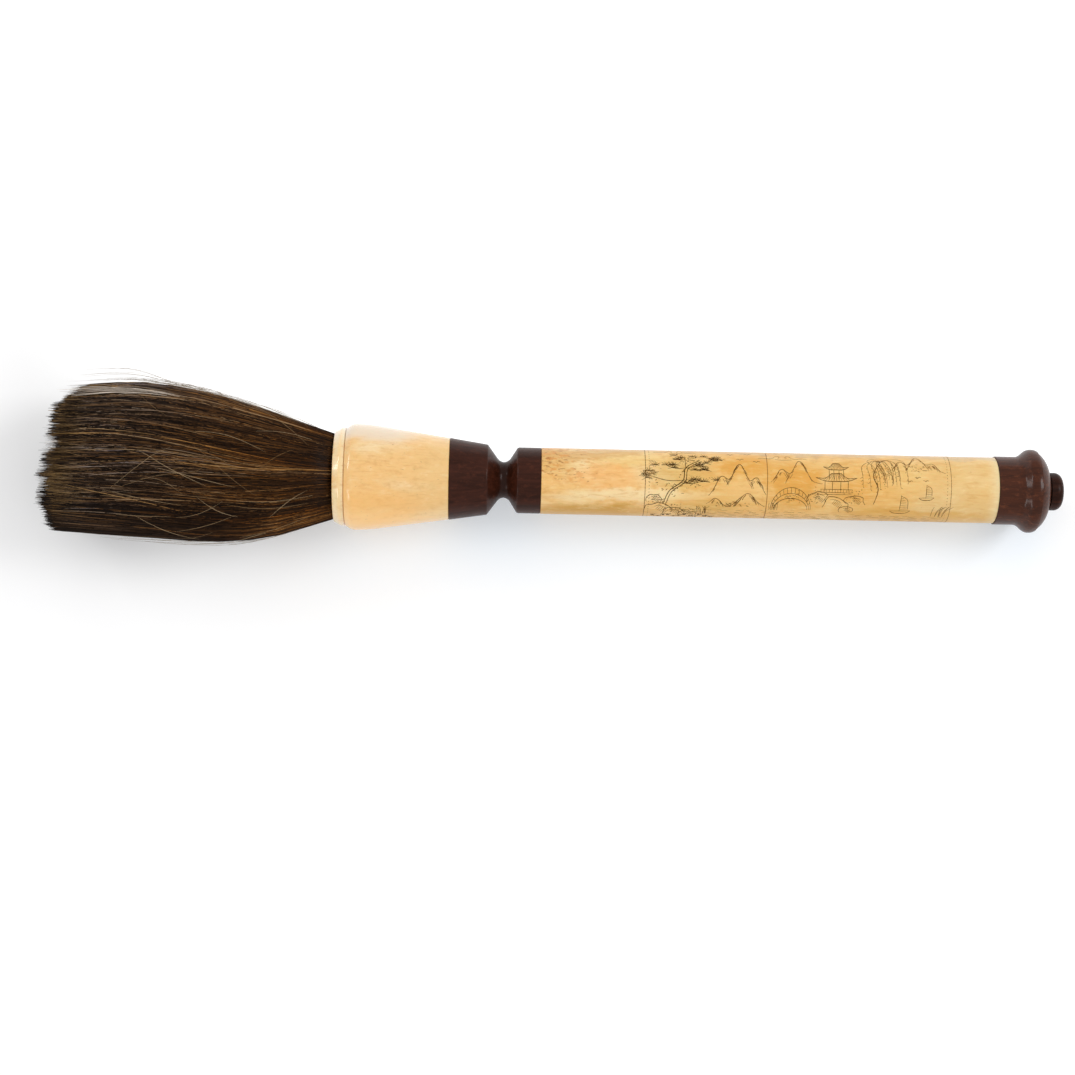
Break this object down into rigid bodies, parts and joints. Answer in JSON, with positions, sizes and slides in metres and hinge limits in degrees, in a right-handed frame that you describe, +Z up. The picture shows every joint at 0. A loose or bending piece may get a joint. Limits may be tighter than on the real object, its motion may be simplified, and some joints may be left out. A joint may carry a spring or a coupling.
{
  "type": "calligraphy brush",
  "caption": "Large calligraphy brush lying on its side: blunt dark hair tuft, bone ferrule with a mouth ring, waisted wood neck, engraved bone tube, turned wood pommel and knob.",
  "frame": {"origin": "on the surface the brush lies on, under the middle of the box of the whole brush", "axes": "+X along the handle from the tuft towards the knob, +Y to the side that the tuft bends to, +Z up"},
  "size_m": [0.3632, 0.0564, 0.0419],
  "materials": {
    "hair": "matte",
    "thread": "matte",
    "resin": "gloss",
    "pale_bone": "satin",
    "bone": "satin",
    "dark_wood": "satin",
    "dowel_wood": "matte"
  },
  "bodies": {
    "root": {"hair_core": "hair", "hair_cover": "hair", "root_binding": "thread", "root_resin": "resin", "mouth_ring": "pale_bone", "ferrule": "bone", "neck": "dark_wood", "tube_front": "bone", "core_dowel": "dowel_wood", "tube_rear": "bone", "pommel": "dark_wood", "knob": "dark_wood"}
  },
  "joints": []
}
